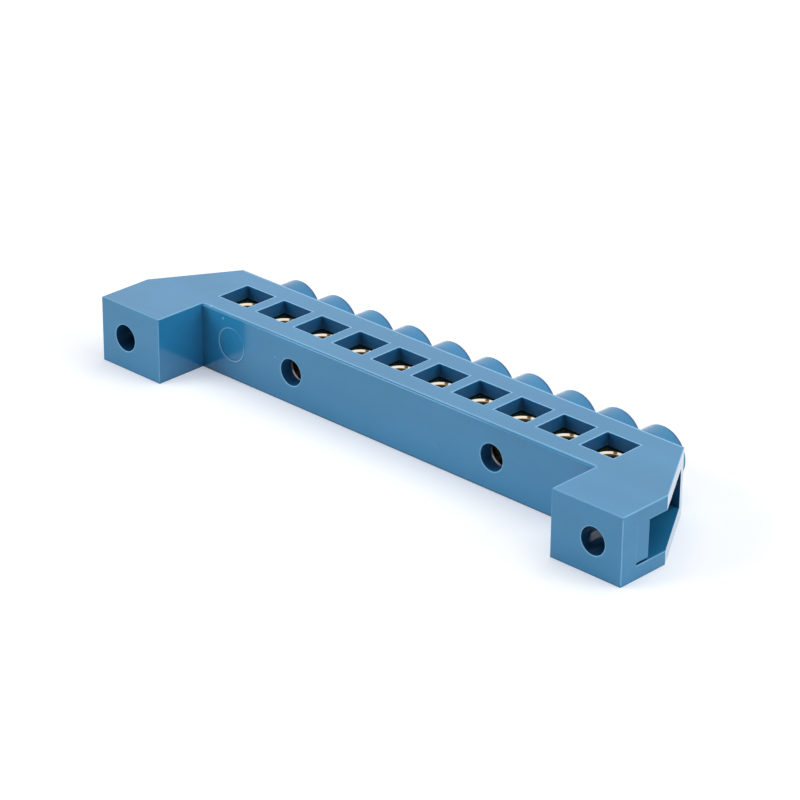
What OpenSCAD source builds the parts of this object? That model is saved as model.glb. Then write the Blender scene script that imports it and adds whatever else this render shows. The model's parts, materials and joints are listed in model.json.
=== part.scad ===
// Ten-way screw terminal bar: a brass bar in a moulded bridge-shaped housing.
// X runs along the bar, +Y points to the wire entries, +Z points up.
// The origin is the centre of the part's footprint, on the flat underside.
// All sizes are in millimetres.

/* [Ways] */
// Number of wire ways along the bar
ways = 10; // [6:1:16]
// Distance from one way to the next
pitch = 8; // [8:0.1:12]

/* [Brass bar] */
// Depth of the bar, front to back
bar_d = 9; // [8:0.1:12]
// Height of the bar
bar_h = 6; // [5.6:0.1:8]
// Length of bar left beyond the centre of each outer way
bar_end = 4; // [3:0.1:4.5]
// Diameter of a wire hole
wire_hole_d = 3.8; // [3:0.1:4.2]
// Chamfer round each mouth of a wire hole
wire_mouth_chamfer = 0.2; // [0.1:0.05:0.4]
// Width of the 45 degree countersink round each screw hole
sink_w = 0.5; // [0.3:0.05:0.6]

/* [Clamp screws] */
// Diameter of a clamp screw
screw_d = 4; // [3.5:0.1:4.4]
// Length of a clamp screw
screw_len = 3.9; // [3:0.1:4.4]
// Running clearance round a screw in its hole, on the radius
screw_clearance = 0.05; // [0.02:0.01:0.08]
// Gap left under a screw that is turned home
home_gap = 0.1; // [0.05:0.05:0.3]
// Width of the driver slot
slot_w = 0.8; // [0.6:0.1:1]
// Depth of the driver slot
slot_depth = 1.2; // [0.8:0.1:1.6]
// Chamfer at the screw's top edge
screw_top_chamfer = 0.25; // [0.1:0.05:0.4]
// Chamfer at the screw's tip
screw_tip_chamfer = 0.5; // [0.2:0.1:0.8]
// Turn of the driver slot from one screw to the next, in degrees
slot_turn = 52; // [0:1:90]

/* [Housing walls] */
// Thickness of the floor under the bar
floor_t = 2.2; // [1.5:0.1:3]
// Thickness of the top wall
top_t = 2.15; // [1.5:0.05:3]
// Thickness of the front wall
front_t = 2; // [1.5:0.1:3]
// Thickness of the back wall
back_t = 2; // [1.5:0.1:3]
// Clearance over the bar and on each side of it
bar_gap = 0.1; // [0.05:0.05:0.3]
// Chamfer along the body's top front edge
brow_chamfer = 0.3; // [0.1:0.05:0.6]

/* [Screw pockets] */
// Width of a pocket, along the bar
pocket_w = 6; // [5.4:0.1:6.6]
// Depth of a pocket, front to back
pocket_d = 5.8; // [5.4:0.1:6.6]

/* [Wire entries] */
// Length of a barrel beyond the back wall
barrel_len = 4.85; // [3:0.05:8]
// Outer diameter of a barrel at the back wall
barrel_root_d = 8.6; // [7.2:0.1:9]
// Outer diameter of a barrel at its rim
barrel_rim_d = 8.5; // [7:0.1:8.8]
// Diameter of the insulation bore in a barrel
entry_d = 5.4; // [4.6:0.1:5.8]
// Chamfer round the mouth of a barrel
entry_chamfer = 0.3; // [0.1:0.05:0.4]

/* [Front holes] */
// Diameter of the holes through the front wall
front_hole_d = 4.2; // [3.4:0.1:5]
// Way that each front hole stands in line with, counted from its end
front_hole_way = 3; // [1:1:3]

/* [Feet] */
// Width of a foot, along the bar
foot_w = 12.55; // [11:0.05:14]
// Reach of a foot in front of the body
foot_reach = 8.9; // [6:0.1:14]
// Thickness of a foot's front wall
foot_front_t = 5.6; // [3:0.1:5.8]
// Thickness of a foot's inner side wall
foot_side_t = 2; // [1.5:0.1:2.5]
// Diameter of the fixing hole in a foot
foot_hole_d = 4.2; // [3.4:0.1:5]
// Distance of a fixing hole from the end face
foot_hole_inset = 5.1; // [4:0.1:6]

/* [Ends] */
// Distance of the outer way from the end face
end_margin = 15.5; // [15:0.1:20]
// Flat length of an end face, front to back
end_face_d = 9.2; // [8:0.1:12]
// Run of the slanted back corner along the bar
slant_run = 7.8; // [6:0.1:9]
// Width of the shallow relief beside an end opening
relief_w = 2.5; // [1:0.1:2.6]
// Depth of the relief at its foot
relief_depth = 0.1; // [0.05:0.05:0.5]
// Height of the slit under the relief
slit_h = 0.3; // [0.2:0.05:0.5]
// Depth of the slit
slit_depth = 1.5; // [0.8:0.1:3]

/* [Mould mark] */
// Distance of the round mark from the left end
mark_x = 18.8; // [16:0.1:24]
// Height of the mark's centre
mark_z = 5.6; // [4:0.1:6.5]
// Diameter of the mark
mark_d = 5.5; // [3:0.1:6]
// Depth of the mark
mark_depth = 0.1; // [0.05:0.05:0.2]

/* [Hidden] */
$fn = 64;
// How far a cutter runs past the face that it opens
over = 1;
channel_d = bar_d + 2 * bar_gap;
channel_h = bar_h + bar_gap;
height = floor_t + channel_h + top_t;
body_d = front_t + channel_d + back_t;
back_y = foot_reach + body_d;
depth = back_y + barrel_len;
row_len = (ways - 1) * pitch;
length = row_len + 2 * end_margin;
half = length / 2;
bar_len = row_len + 2 * bar_end;
channel_y = foot_reach + front_t;
bar_y = channel_y + bar_gap;
row_y = bar_y + bar_d / 2;
axis_z = floor_t + bar_h / 2;
bar_top = floor_t + bar_h;
screw_hole_d = screw_d + 2 * screw_clearance;
hole_floor = axis_z - wire_hole_d / 2;
screw_z = hole_floor + home_gap;
cavity_w = foot_w - foot_side_t;

function way_x(i) = (i - 1) * pitch - row_len / 2;
function screw_name(i) = str("clamp_screw_", i < 10 ? "0" : "", i);

// Moves what is built from the feet's front faces onto the part's own origin
module from_front() {
    translate([0, -depth / 2, 0]) children();
}

// Repeats a piece at every way
module at_ways() {
    for (i = [1:ways]) translate([way_x(i), 0, 0]) children();
}

// A round bar along +Y that starts at the given depth
module along_y(y, len, d1, d2) {
    translate([0, y, axis_z]) rotate([-90, 0, 0]) cylinder(h = len, d1 = d1, d2 = d2);
}

// Plan of the housing: two feet, the body and the slanted back corners
module plan() {
    polygon([
        [-half, 0], [-half + foot_w, 0], [-half + foot_w, foot_reach],
        [half - foot_w, foot_reach], [half - foot_w, 0], [half, 0],
        [half, end_face_d], [half - slant_run, back_y],
        [-half + slant_run, back_y], [-half, end_face_d]
    ]);
}

// The channel that the bar slides into, open through both slanted corners
module channel() {
    translate([-half - over, channel_y, floor_t]) cube([length + 2 * over, channel_d, channel_h]);
}

// The hollow of one foot, open at the end face and into the channel
module foot_hollow() {
    translate([half - cavity_w, foot_front_t, floor_t])
        cube([cavity_w + over, channel_y - foot_front_t + over, channel_h]);
}

// The wedge that sinks the end face beside the opening, and the slit below it
module end_relief() {
    translate([half, foot_front_t + over, 0]) rotate([90, 0, 0])
        linear_extrude(relief_w + over)
            polygon([
                [-relief_depth, floor_t], [over, floor_t],
                [over, floor_t + channel_h], [0, floor_t + channel_h]
            ]);
    translate([half - slit_depth, foot_front_t - relief_w, floor_t])
        cube([slit_depth + over, relief_w + over, slit_h]);
}

// What both ends have alike
module end_cuts() {
    foot_hollow();
    end_relief();
    translate([half - foot_hole_inset, 0, 0])
        along_y(-over, foot_front_t + 2 * over, foot_hole_d, foot_hole_d);
}

// The square pocket over one clamp screw
module pocket() {
    translate([-pocket_w / 2, row_y - pocket_d / 2, height - top_t - over])
        cube([pocket_w, pocket_d, top_t + 2 * over]);
}

// The bore of one barrel, through the back wall into the channel
module wire_entry() {
    along_y(back_y - back_t - over, back_t + barrel_len + 2 * over, entry_d, entry_d);
    along_y(depth - entry_chamfer, entry_chamfer + over,
        entry_d, entry_d + 2 * (entry_chamfer + over));
}

// The long chamfer between the feet, along the body's top front edge
module brow() {
    span = length - 2 * foot_w;
    translate([-span / 2, foot_reach, height]) rotate([90, 0, 90])
        linear_extrude(span)
            polygon([[-over, over], [-over, -brow_chamfer - over], [brow_chamfer + over, over]]);
}

module housing() {
    color([0.29, 0.53, 0.71])
    from_front()
    difference() {
        union() {
            linear_extrude(height) plan();
            // The barrels are wider than the pitch, so neighbours run into each other
            at_ways() along_y(back_y - over, over + barrel_len,
                barrel_root_d, barrel_rim_d);
        }
        channel();
        end_cuts();
        mirror([1, 0, 0]) end_cuts();
        at_ways() pocket();
        at_ways() wire_entry();
        for (i = [front_hole_way, ways + 1 - front_hole_way])
            translate([way_x(i), 0, 0])
                along_y(foot_reach - over, front_t + 2 * over, front_hole_d, front_hole_d);
        translate([mark_x - half, foot_reach - over, mark_z - axis_z])
            along_y(0, over + mark_depth, mark_d, mark_d);
        brow();
    }
}

// One wire hole with its two chamfered mouths
module wire_hole() {
    along_y(bar_y - over, bar_d + 2 * over, wire_hole_d, wire_hole_d);
    for (turn = [0, 1])
        translate([0, turn * (2 * row_y), 0]) mirror([0, turn, 0])
            along_y(bar_y - over, over + wire_mouth_chamfer,
                wire_hole_d + 2 * (wire_mouth_chamfer + over), wire_hole_d);
}

// One screw hole, down through the wire hole, with its countersink
module screw_hole() {
    translate([0, row_y, hole_floor])
        cylinder(h = bar_top - hole_floor + over, d = screw_hole_d);
    translate([0, row_y, bar_top - sink_w])
        cylinder(h = sink_w + over, d1 = screw_hole_d, d2 = screw_hole_d + 2 * (sink_w + over));
}

module brass_bar() {
    color([0.82, 0.66, 0.36])
    from_front()
    difference() {
        translate([-bar_len / 2, bar_y, floor_t]) cube([bar_len, bar_d, bar_h]);
        at_ways() wire_hole();
        at_ways() screw_hole();
    }
}

// A headless slotted clamp screw, turned home in its hole
module clamp_screw(i) {
    r = screw_d / 2;
    color([0.72, 0.72, 0.70])
    from_front()
    translate([way_x(i), row_y, screw_z])
    difference() {
        rotate_extrude()
            polygon([
                [0, 0], [r - screw_tip_chamfer, 0], [r, screw_tip_chamfer],
                [r, screw_len - screw_top_chamfer], [r - screw_top_chamfer, screw_len],
                [0, screw_len]
            ]);
        rotate([0, 0, (i - 1) * slot_turn])
            translate([-r - over, -slot_w / 2, screw_len - slot_depth])
                cube([2 * (r + over), slot_w, slot_depth + over]);
    }
}

housing();
brass_bar();
for (i = [1:ways])
    clamp_screw(i);
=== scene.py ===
"""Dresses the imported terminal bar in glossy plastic, milled brass and threaded screws, in a light tent."""
import json
import math

import bmesh
import bpy
import numpy as np
from mathutils import Matrix, Vector


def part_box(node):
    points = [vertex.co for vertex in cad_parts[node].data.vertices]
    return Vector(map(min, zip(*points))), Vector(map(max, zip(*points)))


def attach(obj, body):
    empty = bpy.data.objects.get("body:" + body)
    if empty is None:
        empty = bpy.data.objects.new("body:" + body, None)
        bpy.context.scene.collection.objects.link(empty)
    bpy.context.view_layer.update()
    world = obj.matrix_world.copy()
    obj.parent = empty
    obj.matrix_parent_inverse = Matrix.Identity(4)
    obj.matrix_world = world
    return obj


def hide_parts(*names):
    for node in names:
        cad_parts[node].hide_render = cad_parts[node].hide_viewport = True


bl_info = {
    "name": "Screw Terminal Bar",
    "version": (1, 0, 0),
    "blender": (4, 5, 0),
    "location": "3D View > Sidebar > Terminal Bar",
    "description": "Builds the looks of a ten-way screw terminal bar around its packed solids",
    "category": "Object",
}

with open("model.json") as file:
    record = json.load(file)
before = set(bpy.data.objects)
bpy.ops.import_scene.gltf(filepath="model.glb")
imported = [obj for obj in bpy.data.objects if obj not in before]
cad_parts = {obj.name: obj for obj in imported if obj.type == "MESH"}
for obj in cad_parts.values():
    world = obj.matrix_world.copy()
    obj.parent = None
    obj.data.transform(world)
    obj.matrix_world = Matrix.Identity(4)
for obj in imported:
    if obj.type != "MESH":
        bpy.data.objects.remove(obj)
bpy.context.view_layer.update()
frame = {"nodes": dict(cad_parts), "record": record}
MM = 0.001


# the part's own places, in millimetres


def box_of(node):
    """The low and high corners of a node."""
    return [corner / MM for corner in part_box(node)]


def opening(name):
    """The low and high corners of an opening in the housing, whose box in the record keeps 0.1 mm off it."""
    box = next(each["box_m"] for each in frame["record"]["physics"]["openings"] if each["name"] == name)
    low, high = (Vector(corner) / MM for corner in box)
    clear = Vector((0.1, 0.1, 0.1))
    return low - clear, high + clear


MOUNTS = {mount["name"]: mount for mount in frame["record"]["mounts"]}
SCREWS = sorted(name for name in frame["nodes"] if name.startswith("clamp_screw_"))

HOUSING_LOW, HOUSING_HIGH = box_of("housing")
BAR_LOW, BAR_HIGH = box_of("brass_bar")
WALL = 2.0
BAR_GAP = 0.1
BODY_FRONT, BODY_BACK = BAR_LOW.y - BAR_GAP - WALL, BAR_HIGH.y + BAR_GAP + WALL

FIRST_WAY = Vector(MOUNTS["wire_entry_01"]["pos_m"]) / MM
PITCH = MOUNTS["wire_entry_02"]["pos_m"][0] / MM - FIRST_WAY.x
ROW_END = PITCH / 2 - FIRST_WAY.x
ROW_Y = sum(corner.y for corner in box_of(SCREWS[0])) / 2
WIRE_RADIUS = 1.9
SINK_RADIUS = 2.55

POCKET_LOW, POCKET_HIGH = opening("pocket_01")
POCKET_HALF = (POCKET_HIGH - POCKET_LOW) / 2
FOOT_HOLLOW = opening("end_hollow_right")[0]
FOOT_SIDE = FOOT_HOLLOW.x - WALL
RELIEF_Y = FOOT_HOLLOW.y - 2.5
SLIT_HEIGHT, SLIT_DEPTH = 0.3, 1.5
SLANT_Y, SLANT_RUN = -4.275, 7.8

# the round holes in the front, the long chamfer over them, and the round mould mark
FACE_HOLES = (MOUNTS["front_hole_right"]["pos_m"][0] / MM, MOUNTS["fixing_holes"]["dims"]["spacing_x_mm"] / 2)
FACE_HOLE_RADIUS = MOUNTS["fixing_holes"]["dims"]["hole_r_mm"]
BROW = 0.3
MARK_X, MARK_Z, MARK_RADIUS = -32.7, 5.6, 2.75

# blemishes: specks (X, Z, outer and inner radius), a falling scratch and a worn spot beside the left foot
SPECKS = ((-34.35, 9.43, 0.22, 0.14), (-23.36, 6.61, 0.14, 0.08))
SCRATCH_START, SCRATCH_END, SCRATCH_Z, SCRATCH_FALL = 8.76, 9.63, 3.65, 0.62
WORN_X, WORN_Y = -37.36, -4.2


# sizes and colours


class StageLook(bpy.types.PropertyGroup):
    """The floor, the tent and the lamps."""

    tent: bpy.props.FloatProperty(
        name="Tent", description="Strength of the even white light from all round", default=0.16, min=0.0)
    ceiling: bpy.props.FloatProperty(
        name="Ceiling", description="Power of the large lamp overhead", default=3.0, min=0.0, unit="POWER")
    side: bpy.props.FloatProperty(
        name="Side", description="Power of the lamp at the right", default=1.45, min=0.0, unit="POWER")
    rear: bpy.props.FloatProperty(
        name="Rear", description="Power of the lamp at the rear right", default=0.84, min=0.0, unit="POWER")
    front: bpy.props.FloatProperty(
        name="Front", description="Power of the lamp at the front left", default=3.26, min=0.0, unit="POWER")
    floor: bpy.props.FloatVectorProperty(
        name="Floor", description="Colour of the floor", default=(0.8, 0.8, 0.8),
        subtype="COLOR", min=0.0, max=1.0)
    floor_lift: bpy.props.FloatVectorProperty(
        name="Floor lift", description="White added where the floor is looked at",
        default=(0.25, 0.265, 0.29), subtype="COLOR", min=0.0, max=1.0)


class HousingLook(bpy.types.PropertyGroup):
    """The moulded housing."""

    edge: bpy.props.FloatProperty(
        name="Widest radius", description="Limit to the radius of a rounded edge", default=0.4 * MM,
        unit="LENGTH")
    plastic: bpy.props.FloatVectorProperty(
        name="Plastic", description="Colour of the plastic", default=(0.016, 0.213, 0.432),
        subtype="COLOR", min=0.0, max=1.0)
    # Painted highlight: the paler colour of the rounded edges and of the pale lines beside them.
    highlight_plastic: bpy.props.FloatVectorProperty(
        name="Edge plastic", description="Paler colour of the rounded edges", default=(0.10, 0.36, 0.62),
        subtype="COLOR", min=0.0, max=1.0)
    # Painted shade: the darker colour inside the pockets, holes, channel and slit, and low on the walls and
    # barrels.
    shade_plastic: bpy.props.FloatVectorProperty(
        name="Deep plastic", description="Darker colour inside the pockets and holes",
        default=(0.014, 0.115, 0.275), subtype="COLOR", min=0.0, max=1.0)
    gloss: bpy.props.FloatProperty(
        name="Roughness", description="Roughness of the moulded faces", default=0.11, min=0.0, max=1.0,
        subtype="FACTOR")


class BarLook(bpy.types.PropertyGroup):
    """The brass bar."""

    edge: bpy.props.FloatProperty(
        name="Widest radius", description="Limit to the radius of a broken edge", default=0.12 * MM,
        unit="LENGTH")
    brass: bpy.props.FloatVectorProperty(
        name="Brass", description="Colour of the brass", default=(0.80, 0.56, 0.25),
        subtype="COLOR", min=0.0, max=1.0)
    # Patina on the dull patches; on the bar's top this colour is painted shade.
    tarnish_and_shade: bpy.props.FloatVectorProperty(
        name="Tarnish", description="Browner colour of the bar's top and of its dull patches",
        default=(0.496, 0.291, 0.106), subtype="COLOR", min=0.0, max=1.0)
    sink: bpy.props.FloatVectorProperty(
        name="Countersink", description="Colour of the freshly cut countersinks", default=(0.95, 0.82, 0.67),
        subtype="COLOR", min=0.0, max=1.0)
    # Painted reflection: the paler left of each countersink.
    sink_left_highlight: bpy.props.FloatVectorProperty(
        name="Countersink's left", description="Paler colour at the left of each countersink",
        default=(0.95, 0.86, 0.73), subtype="COLOR", min=0.0, max=1.0)
    # Painted shade: the near black of the screw holes and wire holes.
    bore_shade: bpy.props.FloatVectorProperty(
        name="Bores", description="Colour of the oily screw holes and wire holes", default=(0.05, 0.04, 0.03),
        subtype="COLOR", min=0.0, max=1.0)
    # Painted reflection: the grey low in the wire holes' mouths.
    painted_mouth: bpy.props.FloatVectorProperty(
        name="Mouths", description="Colour low in the wire holes' front mouths", default=(0.22, 0.24, 0.28),
        subtype="COLOR", min=0.0, max=1.0)
    # Painted shade: the darker colour high in the wire holes' mouths.
    mouth_top_shade: bpy.props.FloatVectorProperty(
        name="Mouths' tops", description="Darker colour high in the wire holes' front mouths",
        default=(0.03, 0.035, 0.05), subtype="COLOR", min=0.0, max=1.0)


class ScrewLook(bpy.types.PropertyGroup):
    """The clamp screws."""

    pitch: bpy.props.FloatProperty(
        name="Thread pitch", description="Rise of the thread in one turn", default=0.7 * MM, unit="LENGTH")
    groove: bpy.props.FloatProperty(
        name="Thread depth", description="Depth of the thread's groove", default=0.36 * MM, unit="LENGTH")
    tip: bpy.props.FloatProperty(
        name="Tip chamfer", description="Width of the chamfer at the tip", default=0.5 * MM, unit="LENGTH")
    brim: bpy.props.FloatProperty(
        name="Top chamfer", description="Width of the chamfer at the top", default=0.25 * MM, unit="LENGTH")
    slot: bpy.props.FloatProperty(
        name="Slot width", description="Width of the driver slot", default=0.8 * MM, unit="LENGTH")
    slot_depth: bpy.props.FloatProperty(
        name="Slot depth", description="Depth of the driver slot", default=1.2 * MM, unit="LENGTH")
    turn: bpy.props.FloatProperty(
        name="Slot turn", description="Turn of the slot from one screw to the next",
        default=math.radians(52), unit="ROTATION")
    steel: bpy.props.FloatVectorProperty(
        name="Plating", description="Colour of the plated steel", default=(0.60, 0.60, 0.58),
        subtype="COLOR", min=0.0, max=1.0)


def tint(colour, factor, lift=0.0):
    """A colour times a factor, with some white added."""
    return [channel * factor + lift for channel in colour]


# shader maths


class Signal:
    """One socket in a node tree, with Python's arithmetic written on it."""

    def __init__(self, paint, socket):
        self.paint, self.socket = paint, socket

    def _math(self, operation, first, second=0.0, third=0.0):
        return self.paint.node("ShaderNodeMath", {"operation": operation}, {0: first, 1: second, 2: third})

    def __add__(self, other):
        return self._math("ADD", self, other)

    __radd__ = __add__

    def __sub__(self, other):
        return self._math("SUBTRACT", self, other)

    def __rsub__(self, other):
        return self._math("SUBTRACT", other, self)

    def __mul__(self, other):
        return self._math("MULTIPLY", self, other)

    __rmul__ = __mul__

    def __truediv__(self, other):
        return self._math("DIVIDE", self, other)

    def __pow__(self, other):
        return self._math("POWER", self, other)

    def wave(self):
        """The sine of an angle in radians."""
        return self._math("SINE", self)

    def size(self):
        """The value without its sign."""
        return self._math("ABSOLUTE", self)

    def turn_from(self, across):
        """The angle of a point with this for its second coordinate, in turns of a circle."""
        return self._math("ARCTAN2", self, across) / math.tau

    def least(self, other):
        """The smaller of two values."""
        return self._math("MINIMUM", self, other)

    def most(self, *others):
        """The largest of this value and the others."""
        largest = self
        for other in others:
            largest = self._math("MAXIMUM", largest, other)
        return largest

    def folded(self, low, high):
        """The value moved by whole spans until it lies between low and high."""
        return self._math("WRAP", self, high, low)

    def step(self, start, end):
        """Rises smoothly from 0 at start to 1 at end."""
        return self.paint.node("ShaderNodeMapRange", {"interpolation_type": "SMOOTHSTEP"},
                               {"Value": self, "From Min": start, "From Max": end})

    def within(self, low, high, soft=0.04):
        """1 between low and high, fading to 0 over the soft width outside them."""
        return self.step(low - soft, low) * self.step(high + soft, high)


class Paint:
    """A node tree being filled: one method adds any node, the others are what the finishes share."""

    def __init__(self, owner, out="ShaderNodeOutputMaterial"):
        owner.use_nodes = True
        self.owner, self.tree = owner, owner.node_tree
        self.tree.nodes.clear()
        self.out = self.tree.nodes.new(out)

    def node(self, kind, settings=None, inputs=None, output=0):
        """A node of that type, its settings first, then its sockets' values or links; returns one output."""
        node = self.tree.nodes.new(kind)
        for key, value in (settings or {}).items():
            setattr(node, key, value)
        for key, value in (inputs or {}).items():
            if isinstance(value, Signal):
                self.tree.links.new(value.socket, node.inputs[key])
            elif node.inputs[key].type == "RGBA" and len(value) == 3:
                node.inputs[key].default_value = (*value, 1.0)
            else:
                node.inputs[key].default_value = value
        return Signal(self, node.outputs[output])

    def place(self):
        """The point on the object, in millimetres."""
        where = self.node("ShaderNodeTexCoord", output="Object")
        return self.node("ShaderNodeVectorMath", {"operation": "SCALE"}, {0: where, "Scale": 1 / MM})

    def parts(self, where):
        """X, Y and Z of a point."""
        split = self.node("ShaderNodeSeparateXYZ", None, {0: where}).socket.node
        return [Signal(self, axis) for axis in split.outputs]

    def stretched(self, where, scale):
        """The point in a grid that is scaled along each axis."""
        return self.node("ShaderNodeMapping", None, {"Vector": where, "Scale": scale})

    def noise(self, where, scale, detail=2.0, roughness=0.5):
        """Soft random patches around 0.5."""
        return self.node("ShaderNodeTexNoise", None, {
            "Vector": where, "Scale": scale, "Detail": detail, "Roughness": roughness})

    def between(self, share, first, second):
        """One colour turning into another with a share from 0 to 1."""
        return self.node("ShaderNodeMix", {"data_type": "RGBA"},
                         {"Factor": share, 6: first, 7: second}, output=2)

    def bump(self, height, distance, under=None):
        """A normal that follows a height of that many metres, laid over another normal."""
        inputs = {"Height": height, "Distance": distance, "Strength": 1.0}
        if under is not None:
            inputs["Normal"] = under
        return self.node("ShaderNodeBump", None, inputs)

    def seen_ray(self):
        """1 for rays from the camera, from a gloss and through glass, 0 for the rest."""
        path = self.node("ShaderNodeLightPath").socket.node
        camera, gloss, glass = (Signal(self, path.outputs[f"Is {kind} Ray"])
                                for kind in ("Camera", "Glossy", "Transmission"))
        return camera.most(gloss, glass)

    def principled(self, **sockets):
        """Ends the material in a Principled BSDF with these sockets."""
        named = {name.replace("_", " "): value for name, value in sockets.items()}
        return self.end(self.node("ShaderNodeBsdfPrincipled", None, named))

    def end(self, shader):
        """Joins the last shader to the output and returns the material or world."""
        self.tree.links.new(shader.socket, self.out.inputs["Surface"])
        return self.owner


def reach(first, second):
    """The distance from zero of a point with these two coordinates."""
    return (first * first + second * second) ** 0.5


def in_way(x):
    """The distance along the bar from the middle of the nearest way."""
    return (x - (FIRST_WAY.x - PITCH / 2)).folded(0.0, PITCH) - PITCH / 2


class Spot:
    """A point of the housing and its distances from the main faces, in millimetres."""

    def __init__(self, paint):
        self.where = paint.place()
        self.x, self.y, self.z = paint.parts(self.where)
        self.aside = self.x.size()
        self.under_top = HOUSING_HIGH.z - self.z
        self.behind_front = self.y - BODY_FRONT
        self.behind_feet = self.y - HOUSING_LOW.y
        self.past_back = self.y - BODY_BACK

    def off_pocket(self):
        """How far the point lies outside the nearest pocket's walls, below 0 inside them."""
        return (in_way(self.x).size() - POCKET_HALF.x).most(
            (self.y - ROW_Y).size() - POCKET_HALF.y, self.aside - ROW_END)

    def off_face_hole(self):
        """How far the point lies outside the nearest round hole in the front, below 0 inside it."""
        first, second = (reach(self.aside - place, self.z - FIRST_WAY.z) for place in FACE_HOLES)
        return first.least(second) - FACE_HOLE_RADIUS

    def on_top(self):
        """1 on the top face."""
        return self.under_top.step(0.06, 0.03)

    def on_front(self):
        """1 on the body's front, below its long chamfer."""
        return self.behind_front.within(-0.02, 0.12, 0.02) * self.under_top.step(BROW + 0.01, BROW + 0.05)

    def on_brow(self):
        """1 on the stretch of the long chamfer whose lines show most, 0 towards both of its ends."""
        return self.x.within(-20.0, 14.0, 10.0)

    def on_slant(self):
        """1 on the two slanted back corners."""
        across = (self.aside - HOUSING_HIGH.x) * (BODY_BACK - SLANT_Y) + (self.y - SLANT_Y) * SLANT_RUN
        return across.within(-1.5, 1.5, 1.0) * self.y.within(SLANT_Y + 0.075, BODY_BACK - 0.075, 0.05)


# the plastic


def plastic_finish(look, name, base, on_edges):
    """Glossy moulded plastic: flow clouds, a satin ripple, dull patches, painted highlight lines, a few pale
    flaws and painted shade in the hollows.
    """
    paint = Paint(bpy.data.materials.new(name))
    spot = Spot(paint)
    cloud = paint.noise(paint.stretched(spot.where, (0.05, 0.12, 0.12)), 1.0, 3.0)
    fleck = paint.noise(spot.where, 2.2, 3.0, 0.6)
    colour = paint.between(cloud.step(0.3, 0.7), tint(base, 0.94), tint(base, 1.05, 0.004))
    colour = paint.between(fleck.step(0.62, 0.80) * 0.10, colour, tint(base, 1.25, 0.02))
    # Painted highlights on the rounded edges and along the flat faces' edges, then painted shade lines and
    # painted shade in the hollows.
    if on_edges:
        colour = paint.between(rims(spot), colour, tint(base, 1.25, 0.08))
        colour = paint.between(plain_edges(spot), colour, look.plastic)
    else:
        colour = paint.between(painted_highlight_lines(spot), colour, tint(look.highlight_plastic, 1.15, 0.07))
        colour = paint.between(painted_shade_lines(spot), colour, tint(base, 0.35))
    # Painted shade on the barrels, at the foot of the walls and along the low edges.
    colour = paint.between(painted_shade_tones(spot), colour, look.shade_plastic)
    # Painted shade inside the pockets, holes, channel and slit, darker still past the foot hollows.
    inner = inner_walls(spot, 0.20 if on_edges else 0.02)
    past_foot = spot.aside.step(FOOT_HOLLOW.x, FOOT_HOLLOW.x + 2.0)
    painted_shade = paint.between(past_foot, look.shade_plastic, tint(look.shade_plastic, 0.6))
    colour = paint.between(inner, colour, painted_shade)
    slant = spot.on_slant()
    dull = paint.noise(spot.where, 0.22, 4.0, 0.6).step(0.35, 0.75)
    roughness = (look.gloss + dull * 0.07 + (fleck - 0.5) * 0.03) * (1.0 - slant * 0.7)
    roughness = roughness + inner * 0.25 * spot.behind_front.step(-0.42, 0.08)
    ripple = paint.noise(spot.where, 0.9, 2.0, 0.5)
    grain = paint.noise(spot.where, 9.0, 1.0)
    calm = 1.0 - slant
    normal = paint.bump(grain * calm, 0.0015 * MM, paint.bump(ripple * calm, 0.002 * MM))
    return paint.principled(Base_Color=colour, Roughness=roughness, Normal=normal, IOR=1.6,
                            Coat_Weight=(slant * 0.6).most(spot.on_top() * 0.12),
                            Coat_IOR=1.6, Coat_Roughness=0.05)


def painted_highlight_lines(spot):
    """How pale the flat faces are: painted highlights along edges, round the holes and the mark, and small
    pale flaws.
    """
    return top_lines(spot).most(end_lines(spot), hole_lines(spot), flaws_and_mark_highlight(spot))


def top_lines(spot):
    """Painted highlight lines along the top's back and front edges, beside the pockets and round the feet."""
    top = spot.on_top()
    slant_end = HOUSING_HIGH.x - SLANT_RUN
    back = spot.past_back.within(-0.3, 0.08, 0.08) * spot.aside.step(slant_end - 0.1, slant_end - 0.4) * 0.8
    half_w, half_d = POCKET_HALF.x, POCKET_HALF.y
    near = in_way(spot.x).step(half_w - 0.2, half_w).most((spot.y - ROW_Y).step(0.2 - half_d, -half_d))
    beside = spot.off_pocket().within(-0.1, 0.16, 0.08) * (0.5 + 0.4 * near)
    inner_side = (spot.aside - FOOT_SIDE - 0.1).size().step(0.2, 0.1) * spot.behind_front.step(0.28, -0.02)
    right_end = (spot.x - HOUSING_HIGH.x).step(-0.3, -0.2) * (spot.y - SLANT_Y).step(0.27, -0.03)
    toes = spot.behind_feet.step(0.33, 0.23) * 0.45
    between_feet = spot.aside.step(FOOT_SIDE - 0.05, FOOT_SIDE - 0.25)
    over_brow = spot.behind_front.within(BROW, BROW + 0.18, 0.06) * between_feet
    feet = inner_side.most(right_end, toes, over_brow) * 0.65
    low_brow = spot.under_top.within(0.18, 0.25, 0.03) * spot.behind_front.within(-0.02, 0.2, 0.02)
    low_brow = low_brow * spot.on_brow() * between_feet * 0.65
    return (top * back.most(beside, feet)).most(low_brow)


def end_lines(spot):
    """Painted highlight lines on the end faces: beside the relief, under the slit and over the opening."""
    height = spot.z - BAR_LOW.z
    relief = (spot.y - RELIEF_Y).within(-0.085, -0.005, 0.08) * height.within(0.4, 6.0) * 0.22
    sill = height.within(-0.16, -0.02) * spot.y.within(RELIEF_Y - 0.025, SLANT_Y + 0.075) * 0.7
    lintel = height.within(6.12, 6.22) * spot.y.within(FOOT_HOLLOW.y - 0.025, SLANT_Y + 0.075) * 0.5
    return (spot.aside - HOUSING_HIGH.x).step(-0.25, -0.15) * relief.most(sill, lintel)


def hole_lines(spot):
    """A painted highlight ring round each of the four round holes in the front, stronger below the axis."""
    faces = spot.on_front().most(spot.behind_feet.step(0.055, 0.015))
    return faces * spot.off_face_hole().within(0.0, 0.14, 0.05) * (0.45 + 0.3 * spot.z.step(6.0, 4.0))


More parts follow.
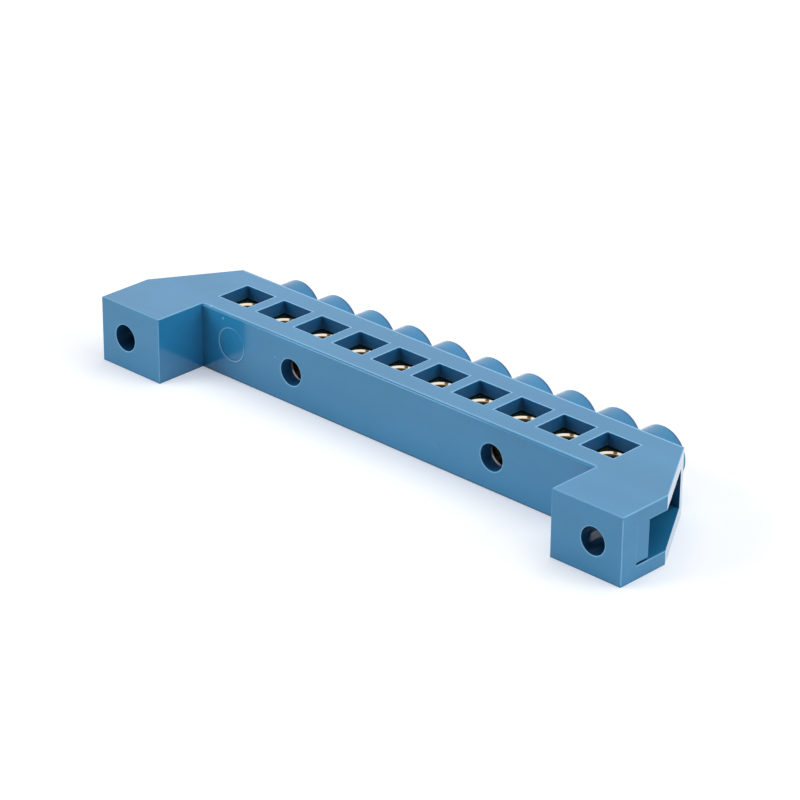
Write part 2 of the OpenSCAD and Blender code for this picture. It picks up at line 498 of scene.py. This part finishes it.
def flaws_and_mark_highlight(spot):
    """The painted highlight on the mark's rim, two specks, a scratch and a worn spot at the top's front edge.
    """
    x, y, z = spot.x, spot.y, spot.z
    mark_x, mark_z = x - MARK_X, z - MARK_Z
    upper_right = mark_x.step(0.0, 1.5) * mark_z.step(-0.5, 1.0)
    rim = (reach(mark_x, mark_z) - MARK_RADIUS).within(-0.15, -0.05, 0.10) * (1.0 - 0.6 * upper_right)
    specks = [reach(x - across, z - up).step(outer, inner) for across, up, outer, inner in SPECKS]
    off_scratch = (z - SCRATCH_Z + (x - SCRATCH_START) * SCRATCH_FALL).size()
    scratch = off_scratch.step(0.06, 0.02) * x.within(SCRATCH_START, SCRATCH_END, 0.1) * 0.35
    worn = reach(x - WORN_X, y - WORN_Y).step(0.35, 0.20) * spot.under_top.step(0.15, 0.10)
    return (spot.on_front() * rim.most(scratch, *specks)).most(worn)


def painted_shade_lines(spot):
    """Painted shade: how dark the flat faces are in the long chamfer, at the mark's rim and where the front
    meets a foot.
    """
    brow = (spot.behind_front.within(0.125, 0.285, 0.03) * spot.under_top.within(0.03, 0.12, 0.03)
            * spot.on_brow() * 0.55)
    mark_x, mark_z = spot.x - MARK_X, spot.z - MARK_Z
    off_mark = reach(mark_x, mark_z) - MARK_RADIUS
    right, low = mark_x.step(0.8, 1.8), mark_z.step(2.0, -2.0)
    rim = (off_mark.within(-0.35, -0.27, 0.10) * (1.0 - right) * (0.25 + 0.75 * low)
           + off_mark.within(0.09, 0.15, 0.08) * right * low * 0.7)
    corner = (spot.aside - FOOT_SIDE).within(-0.05, 0.05, 2.3) * 0.45
    return brow.most(spot.on_front() * rim.most(corner))


def painted_shade_tones(spot):
    """Painted shade: how far the plastic darkens at the foot of the walls, on the barrels and at the feet's
    inner edges.
    """
    rim = (spot.y - HOUSING_HIGH.y).within(-0.38, 0.12, 0.15) * in_way(spot.x).step(-0.5, 1.8) * 0.9
    root = spot.past_back.step(0.0, 0.08) * (0.05 + 0.6 * spot.past_back.step(2.4, 1.4))
    side = (spot.aside - FOOT_SIDE).size().step(0.12, 0.04) * spot.behind_front.step(0.18, -0.02) * 0.2
    low = spot.z.step(0.42, 0.12) * (0.45 + 0.5 * (spot.aside - FOOT_SIDE).step(0.05, -0.05))
    return rim.most(root, side, low)


def rims(spot):
    """Painted highlight: 1 on the rounded edges of the pockets, less round the holes in the front and on the
    feet's uprights.
    """
    pockets = spot.off_pocket().step(0.5, 0.3) * spot.under_top.step(0.5, 0.3)
    holes = spot.off_face_hole().step(0.5, 0.3) * spot.y.step(BAR_LOW.y, BAR_LOW.y - 0.05) * 0.6
    uprights = spot.behind_feet.step(0.175, 0.075) * spot.z.within(0.5, 10.1, 0.2) * 0.5
    return pockets.most(holes, uprights)


def plain_edges(spot):
    """1 on the barrels' rims, which keep the colour of the faces, and half that on the feet's top fronts."""
    toes = spot.behind_feet.step(0.38, 0.28) * spot.under_top.step(0.35, 0.25) * 0.5
    return toes.most((spot.y - HOUSING_HIGH.y).step(-0.48, -0.38))


def inner_walls(spot, rim):
    """Painted shade: 1 in the pockets, holes and slit, past the rim's depth; 0.9 in the channel, 0.3 towards
    its ends.
    """
    pocket = (spot.off_pocket().step(0.06, 0.02) * spot.under_top.step(rim, rim + 0.1)
              * spot.z.step(BAR_HIGH.z, BAR_HIGH.z + 0.05))
    inset = 0.4 * rim
    hole = (spot.off_face_hole().step(0.10 - inset, 0.04 - inset)
            * spot.y.step(BAR_LOW.y, BAR_LOW.y - 0.05))
    past_foot = spot.aside - FOOT_HOLLOW.x
    channel_front = BAR_LOW.y - BAR_GAP
    front = channel_front + past_foot.step(-0.05, 0.0) * (FOOT_HOLLOW.y - channel_front)
    channel = (spot.z.within(BAR_LOW.z - 0.02, BAR_HIGH.z + BAR_GAP + 0.02)
               * (spot.y - front).step(-0.05, 0.0) * (spot.y - BAR_HIGH.y - BAR_GAP).step(0.06, 0.01)
               * (0.30 + 0.6 * past_foot.step(4.0, 2.0)))
    slit = (spot.y.within(RELIEF_Y + 0.025, FOOT_HOLLOW.y - 0.025, 0.02)
            * (spot.z - BAR_LOW.z).within(0.0, SLIT_HEIGHT, 0.02)
            * (spot.aside - HOUSING_HIGH.x).within(-SLIT_DEPTH, -0.1, 0.05))
    return pocket.most(hole, channel, slit)


# the metals and the floor


def brass_finish(look):
    """Drawn brass: draw marks, a brown mirror on top whose brown is painted shade, bright countersinks with a
    painted reflection, painted shade in the bores and a painted reflection low in the wire holes' mouths.
    """
    paint = Paint(bpy.data.materials.new("milled_brass"))
    where = paint.place()
    x, y, z = paint.parts(where)
    across, along = in_way(x), y - ROW_Y
    off_screw, off_wire = reach(across, along), reach(across, z - FIRST_WAY.z)
    bright = (z - BAR_HIGH.z).step(-0.27, -0.22)
    sink = off_screw.step(SINK_RADIUS + 0.05, SINK_RADIUS + 0.02) * bright
    # Painted shade in the screw holes below the countersinks and in the wire holes.
    bore_shade = (off_screw.step(2.28, 2.24) * (1.0 - bright)).most(
        off_wire.step(WIRE_RADIUS + 0.03, WIRE_RADIUS - 0.01))
    lip = off_wire.within(WIRE_RADIUS + 0.03, WIRE_RADIUS + 0.24, 0.03) * (y - BAR_LOW.y).step(0.5, 0.3)
    flat = (z - BAR_HIGH.z).step(-0.05, -0.02) * off_screw.step(SINK_RADIUS - 0.02, SINK_RADIUS + 0.02)
    draw = paint.noise(paint.stretched(where, (0.25, 9.0, 9.0)), 1.0, 4.0, 0.65)
    patches = paint.noise(where, 0.6, 4.0, 0.6).step(0.42, 0.8)
    colour = paint.between(patches * 0.55, look.brass, look.tarnish_and_shade)
    colour = paint.between(draw.step(0.4, 0.7) * 0.2, colour, tint(look.brass, 0.8))
    # Painted reflection: each countersink is paler at its left and has a dark band at the same turn.
    turn = along.turn_from(across)
    reflected_band = (turn - 0.312).size().step(0.026, 0.012)
    cut = paint.between(turn.step(0.40, 0.33), look.sink_left_highlight, look.sink)
    cut = paint.between(reflected_band, cut, tint(look.brass, 0.20))
    # Painted shade: the bar's top takes the browner colour.
    colour = paint.between(flat, colour, look.tarnish_and_shade)
    colour = paint.between(sink, colour, cut)
    colour = paint.between(bore_shade, colour, look.bore_shade)
    # Painted reflection low in the wire holes' mouths, painted shade high in them.
    painted_mouth = paint.between((z - FIRST_WAY.z).step(-0.6, -1.4), look.mouth_top_shade, look.painted_mouth)
    colour = paint.between(lip, colour, painted_mouth)
    rough = 0.24 + draw * 0.12 + patches * 0.12
    rough = rough - flat * (rough - 0.07)
    rings = (off_screw * 40.0).wave()
    normal = paint.bump(rings * sink, 0.002 * MM, paint.bump(draw, 0.004 * MM))
    return paint.principled(Base_Color=colour, Metallic=1.0, Roughness=rough, Normal=normal)


def steel_finish(look):
    """Bright zinc plating with a slightly dull, cloudy bloom."""
    paint = Paint(bpy.data.materials.new("zinc_plated_steel"))
    where = paint.place()
    bloom = paint.noise(where, 1.2, 4.0, 0.6)
    colour = paint.between(bloom.step(0.4, 0.75) * 0.6, look.steel, tint(look.steel, 0.72))
    normal = paint.bump(paint.noise(where, 14.0, 2.0), 0.003 * MM)
    return paint.principled(Base_Color=colour, Metallic=1.0, Roughness=0.22 + bloom * 0.16, Normal=normal)


def floor_finish(look):
    """White floor that takes the shadow, with some white of its own where it is looked at or mirrored."""
    paint = Paint(bpy.data.materials.new("studio_floor"))
    matt = paint.node("ShaderNodeBsdfDiffuse", None, {"Color": look.floor})
    glow = paint.node("ShaderNodeEmission", None, {"Color": look.floor_lift, "Strength": 1.0})
    none = paint.node("ShaderNodeEmission", None, {"Strength": 0.0})
    lift = paint.node("ShaderNodeMixShader", None, {0: paint.seen_ray(), 1: none, 2: glow})
    return paint.end(paint.node("ShaderNodeAddShader", None, {0: matt, 1: lift}))


def tent_world(look):
    """Even light from all round, and plain white wherever the tent itself is seen or mirrored."""
    paint = Paint(bpy.data.worlds.new("light_tent"), "ShaderNodeOutputWorld")
    tent, white = (paint.node("ShaderNodeBackground", None, {"Color": (1.0, 1.0, 1.0), "Strength": strength})
                   for strength in (look.tent, 1.0))
    return paint.end(paint.node("ShaderNodeMixShader", None, {0: paint.seen_ray(), 1: tent, 2: white}))


# meshes


def new_piece(name, points, faces):
    """An object at the origin with this mesh, in metres."""
    mesh = bpy.data.meshes.new(name)
    mesh.from_pydata([tuple(p) for p in points], [], [tuple(f) for f in faces])
    piece = bpy.data.objects.new(name, mesh)
    bpy.context.scene.collection.objects.link(piece)
    return piece


def grid_faces(rows, columns, first):
    """Quads of a rows by columns grid of points that starts at index first."""
    r, c = np.meshgrid(np.arange(rows - 1), np.arange(columns - 1), indexing="ij")
    a = (first + r * columns + c).ravel()
    return np.stack([a, a + 1, a + columns + 1, a + columns], 1)


def closed_piece(name, grids):
    """One closed mesh from several grids of points (rows, columns, 3) whose borders meet."""
    points, faces, first = [], [], 0
    for grid in grids:
        rows, columns = grid.shape[:2]
        points.append(grid.reshape(-1, 3))
        faces.append(grid_faces(rows, columns, first))
        first += rows * columns
    piece = new_piece(name, np.concatenate(points), np.concatenate(faces))
    form = bmesh.new()
    form.from_mesh(piece.data)
    bmesh.ops.remove_doubles(form, verts=form.verts, dist=0.0005 * MM)
    bmesh.ops.dissolve_degenerate(form, edges=form.edges, dist=0.0001 * MM)
    bmesh.ops.recalc_face_normals(form, faces=form.faces)
    form.to_mesh(piece.data)
    form.free()
    return piece


FLAT, SHARP = math.radians(1.6), math.radians(28)


def edge_copy(node, name, radius_at, widest, materials):
    """A merged copy of a CAD node with a live bevel, as wide as radius_at(middle, bend) says in millimetres.

    The bend is the angle between the two faces at an edge, below 0 in a hollow corner. Edges that bend from
    FLAT to SHARP come from a curve's facets and are shaded smooth. The rounded edges take the last material.
    """
    piece = bpy.data.objects.new(name, frame["nodes"][node].data.copy())
    piece.data.materials.clear()
    for material in materials:
        piece.data.materials.append(material)
    bpy.context.scene.collection.objects.link(piece)
    form = bmesh.new()
    form.from_mesh(piece.data)
    bmesh.ops.remove_doubles(form, verts=form.verts, dist=0.0002 * MM)
    bmesh.ops.dissolve_limit(form, angle_limit=math.radians(0.4), verts=form.verts, edges=form.edges)
    layer = form.edges.layers.float.new("bevel_weight_edge")
    for edge in form.edges:
        if len(edge.link_faces) != 2:
            continue
        bend = edge.calc_face_angle_signed()
        middle = (edge.verts[0].co + edge.verts[1].co) / (2 * MM)
        radius = radius_at(middle, bend) if abs(bend) > SHARP else 0.0
        edge[layer] = min(1.0, radius * MM / widest)
        edge.smooth = FLAT < abs(bend) < SHARP
    for face in form.faces:
        face.smooth = True
    form.to_mesh(piece.data)
    form.free()
    bevel = piece.modifiers.new("edge_radius", "BEVEL")
    bevel.limit_method, bevel.width, bevel.segments = "WEIGHT", widest, 3
    bevel.use_clamp_overlap, bevel.harden_normals, bevel.loop_slide = False, True, True
    bevel.material = len(materials) - 1
    return piece


def housing_radius(middle, bend):
    """The radius of one of the housing's edges, in millimetres, from its middle and its bend."""
    x, y, z = middle
    under_top, aside = HOUSING_HIGH.z - z, abs(x)
    in_row = abs(y - ROW_Y) < POCKET_HALF.y + 0.1
    if bend < 0:
        off_way = abs((x - FIRST_WAY.x + PITCH / 2) % PITCH - PITCH / 2)
        pocket_corner = abs(off_way - POCKET_HALF.x) < 0.02 and in_row
        between = under_top > 0.2 and z > BAR_HIGH.z + 0.2
        return 0.1 if pocket_corner and between else 0.0
    if aside > HOUSING_HIGH.x - 0.11 and abs(y - RELIEF_Y) < 0.02:
        return 0.0
    if abs(y - BODY_FRONT) < BROW + 0.01 and under_top < BROW + 0.01 and aside < FOOT_SIDE + 0.5:
        return 0.06 if under_top < 0.1 else 0.02
    if abs(y - BODY_FRONT) < 0.15 and math.hypot(x - MARK_X, z - MARK_Z) < MARK_RADIUS + 0.1:
        return 0.02
    if y > HOUSING_HIGH.y - 0.35:
        return 0.10
    ceiling = BAR_HIGH.z + BAR_GAP
    if BAR_LOW.z - 0.05 < z < ceiling + 0.05 and aside > FOOT_HOLLOW.x and y > FOOT_HOLLOW.y - 3:
        return 0.05
    if under_top < 0.1 and in_row and aside < ROW_END:
        return 0.07
    if abs(z - ceiling) < 0.02:
        return 0.04
    if y < HOUSING_LOW.y + 0.02:
        return 0.12 if under_top < 0.1 or x > HOUSING_HIGH.x - 0.1 else 0.07
    return 0.07 if bend < math.radians(50) else 0.09


def bar_radius(middle, bend):
    """The radius of one of the bar's edges, in millimetres: its square edges are broken the most."""
    if bend < 0:
        return 0.0
    return 0.1 if bend > math.radians(60) else 0.04


def screw_grids(low, high, look, slot_turn):
    """The surface of one screw, as grids of points.

    Round the side, the radius at angle a and height z is the screw's radius less the groove, a trapezoid wave
    of z / pitch - a / 360 degrees, and never more than the 45 degree cones of the tip and the top allow.
    Four runs of columns go round: two along the ends of the slot, up to its floor, and two past it, up
    to the top. Each run's ends lie on the slot's walls, so every other grid shares its border points with
    them: a flat half moon on each side of the slot, its two walls, its floor and the disc under the tip.
    """
    centre, full = (low + high) / 2, (high.x - low.x) / 2
    half_slot = look.slot / 2
    edge = math.asin(half_slot / full)
    narrow, wide = 7, 33
    # the groove's bottom and one of its flanks, as shares of half a pitch
    bottom, flank = 0.18, 0.64
    lower = np.linspace(low.z, high.z - look.slot_depth, 56)
    upper = np.linspace(high.z - look.slot_depth, high.z, 26)
    both = np.concatenate([lower, upper[1:]])

    def radius(angle, z):
        """The screw's radius at an angle and a height."""
        phase = np.mod((z - low.z) / look.pitch - angle / (2 * np.pi), 1.0)
        wave = np.clip((np.abs(2 * phase - 1) - bottom) / flank, 0.0, 1.0)
        thread = full - look.groove * (1 - wave)
        cones = np.minimum(full - look.tip + (z - low.z), full - look.brim + (high.z - z))
        return np.minimum(thread, cones)

    def run(base, at_slot, heights):
        """Columns round from the angle base at each height, with the ends drawn onto the slot's walls."""
        start, end = (base - edge, base + edge) if at_slot else (base + edge, base + np.pi - edge)
        named = np.linspace(start, end, narrow if at_slot else wide)[None, :]
        z = heights[:, None]
        r = radius(named, z)
        first, last = np.split(np.arcsin(half_slot / r[:, [0, -1]]), 2, axis=1)
        first, last = (base - first, base + last) if at_slot else (base + first, base + np.pi - last)
        angle = first + (last - first) * (named - start) / (end - start)
        return np.stack([r * np.cos(angle), r * np.sin(angle), z + 0 * r], -1)

    east, north = run(0.0, True, lower), run(0.0, False, both)
    west, south = run(np.pi, True, lower), run(np.pi, False, both)
    grids = [east, north, west, south]
    across = np.linspace(0, 1, wide)
    for moon in (north, south):
        top = moon[-1]
        line = top[:1] + (top[-1:] - top[:1]) * across[:, None]
        grids.append(line[None] + (top - line)[None] * np.linspace(0, 1, 5)[:, None, None])
    for moon in (north, south):
        rows = moon[len(lower) - 1:]
        grids.append(rows[:, :1] + (rows[:, -1:] - rows[:, :1]) * across[None, :, None])
    first, last = east[-1], west[-1][::-1]
    grids.append(first[None] + (last - first)[None] * across[:, None, None])
    ring = np.concatenate([east[0], north[0][1:], west[0][1:], south[0][1:]])
    hub = np.array([0, 0, low.z])
    grids.append(hub + (ring - hub)[None] * np.linspace(0, 1, 3)[:, None, None])
    turn = np.array(Matrix.Rotation(slot_turn, 3, "Z"))
    return [grid @ turn.T + (centre.x, centre.y, 0.0) for grid in grids]


# operators

# each lamp's strength in StageLook, its place and the length of its sides, in metres
LAMPS = (
    ("ceiling", (0.05, 0.15, 0.60), 0.7),
    ("side", (0.65, 0.15, 0.35), 0.4),
    ("rear", (0.50, 0.45, 0.22), 0.4),
    ("front", (-0.45, -0.55, 0.35), 0.5),
)

# the camera's right, up and backward directions, its place in metres and its lens in millimetres
CAMERA_AXES = (
    (0.72159347, 0.69227406, 0.00771273),
    (-0.30282692, 0.30559497, 0.90272232),
    (0.62257427, -0.65373415, 0.43015455),
)
CAMERA_PLACE = (0.29889893, -0.31604769, 0.21314220)
CAMERA_LENS = 150.2198


class TERMINAL_OT_stage(bpy.types.Operator):
    """Lays the floor, sets the tent and the lamps, and places the camera."""

    bl_idname = "terminal.stage"
    bl_label = "Floor, Light and Camera"

    def execute(self, context):
        look, scene = context.scene.stage_look, context.scene
        far = 3.0
        corners = [(-far, -far, 0), (far, -far, 0), (far, far, 0), (-far, far, 0)]
        floor = new_piece("floor", corners, [(0, 1, 2, 3)])
        floor.data.materials.append(floor_finish(look))
        scene.world = tent_world(look)
        for name, place, size in LAMPS:
            self.lamp(name + "_lamp", place, size, getattr(look, name))
        camera = bpy.data.objects.new("camera", bpy.data.cameras.new("camera"))
        scene.collection.objects.link(camera)
        camera.data.lens, camera.data.sensor_width = CAMERA_LENS, 36.0
        camera.data.clip_start, camera.data.clip_end = 0.01, 50.0
        turn = Matrix(CAMERA_AXES).transposed().to_4x4()
        camera.matrix_world = Matrix.Translation(CAMERA_PLACE) @ turn
        scene.camera = camera
        scene.view_settings.view_transform = "Standard"
        return {"FINISHED"}

    def lamp(self, name, place, size, power):
        """A square lamp at place that faces the object; a gloss mirrors the white tent only."""
        lamp = bpy.data.lights.new(name, "AREA")
        lamp.shape, lamp.size, lamp.energy = "SQUARE", size, power
        holder = bpy.data.objects.new(name, lamp)
        bpy.context.scene.collection.objects.link(holder)
        holder.visible_glossy = False
        holder.location = place
        holder.rotation_euler = (-Vector(place)).to_track_quat("-Z", "Y").to_euler()


class TERMINAL_OT_housing(bpy.types.Operator):
    """Gives the housing its small edge radii and its plastic."""

    bl_idname = "terminal.housing"
    bl_label = "Moulded Housing"

    def execute(self, context):
        look = context.scene.housing_look
        faces = plastic_finish(look, "moulded_blue_plastic", look.plastic, False)
        # The rounded edges take a paler plastic: a painted highlight.
        edges = plastic_finish(look, "pale_plastic_edges", look.highlight_plastic, True)
        piece = edge_copy("housing", "moulded_housing", housing_radius, look.edge, (faces, edges))
        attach(piece, "housing")
        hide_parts("housing")
        return {"FINISHED"}


class TERMINAL_OT_brass_bar(bpy.types.Operator):
    """Gives the bar its broken edges and its brass."""

    bl_idname = "terminal.brass_bar"
    bl_label = "Brass Bar"

    def execute(self, context):
        look = context.scene.bar_look
        piece = edge_copy("brass_bar", "milled_bar", bar_radius, look.edge, (brass_finish(look),))
        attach(piece, "housing")
        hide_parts("brass_bar")
        return {"FINISHED"}


class TERMINAL_OT_clamp_screws(bpy.types.Operator):
    """Makes the ten threaded, slotted clamp screws."""

    bl_idname = "terminal.clamp_screws"
    bl_label = "Clamp Screws"

    def execute(self, context):
        look = context.scene.screw_look
        steel = steel_finish(look)
        for i, node in enumerate(SCREWS):
            low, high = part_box(node)
            grids = screw_grids(low, high, look, i * look.turn)
            piece = closed_piece(node.replace("clamp", "threaded"), grids)
            piece.data.materials.append(steel)
            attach(piece, node)
            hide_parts(node)
        return {"FINISHED"}


class TERMINAL_PT_pieces(bpy.types.Panel):
    """Lists the pieces and their sizes in the sidebar."""

    bl_idname = "TERMINAL_PT_pieces"
    bl_label = "Terminal Bar"
    bl_space_type = "VIEW_3D"
    bl_region_type = "UI"
    bl_category = "Terminal Bar"

    def draw(self, context):
        for operator, look in STEPS:
            box = self.layout.box()
            box.operator(operator)
            group = getattr(context.scene, look)
            for name in group.__annotations__:
                box.prop(group, name)


STEPS = (
    ("terminal.stage", "stage_look"),
    ("terminal.housing", "housing_look"),
    ("terminal.brass_bar", "bar_look"),
    ("terminal.clamp_screws", "screw_look"),
)
LOOKS = {"stage_look": StageLook, "housing_look": HousingLook, "bar_look": BarLook, "screw_look": ScrewLook}
CLASSES = (*LOOKS.values(), TERMINAL_OT_stage, TERMINAL_OT_housing, TERMINAL_OT_brass_bar,
           TERMINAL_OT_clamp_screws, TERMINAL_PT_pieces)


def register():
    for cls in CLASSES:
        bpy.utils.register_class(cls)
    for name, cls in LOOKS.items():
        setattr(bpy.types.Scene, name, bpy.props.PointerProperty(type=cls))


def unregister():
    for name in LOOKS:
        delattr(bpy.types.Scene, name)
    for cls in reversed(CLASSES):
        bpy.utils.unregister_class(cls)


def main():
    """Builds everything in order."""
    register()
    for operator, _ in STEPS:
        group, name = operator.split(".")
        getattr(getattr(bpy.ops, group), name)()


if __name__ == "__main__":
    main()
